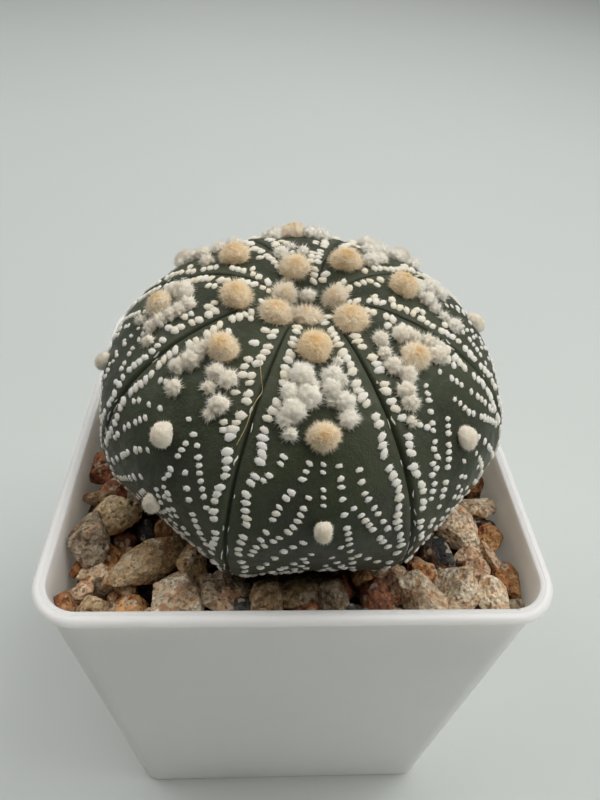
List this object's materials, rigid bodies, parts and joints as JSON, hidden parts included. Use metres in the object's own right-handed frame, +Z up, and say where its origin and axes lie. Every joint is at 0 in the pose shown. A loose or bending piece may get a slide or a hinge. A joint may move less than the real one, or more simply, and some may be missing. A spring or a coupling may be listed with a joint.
{
  "type": "potted hanazono star cactus",
  "caption": "Small square plastic pot, filled with soil under a dressing of granite grit, holding one low ribbed spineless cactus with wool cushions and white felt flecks",
  "frame": {"origin": "centre of the pot's underside, on the surface it stands on", "axes": "+Z up out of the pot, -Y towards the front wall of the pot, +X to the right seen from the front"},
  "size_m": [0.075, 0.075, 0.1182],
  "materials": {
    "pot_plastic": "satin white moulded plastic",
    "soil": "dark crumbly potting soil",
    "gravel": "rough broken granite grit",
    "cactus_skin": "matte waxy skin with wool and felt flecks"
  },
  "bodies": {
    "root": {"pot": "pot_plastic", "soil": "soil", "gravel": "gravel", "cactus": "cactus_skin"}
  },
  "joints": []
}
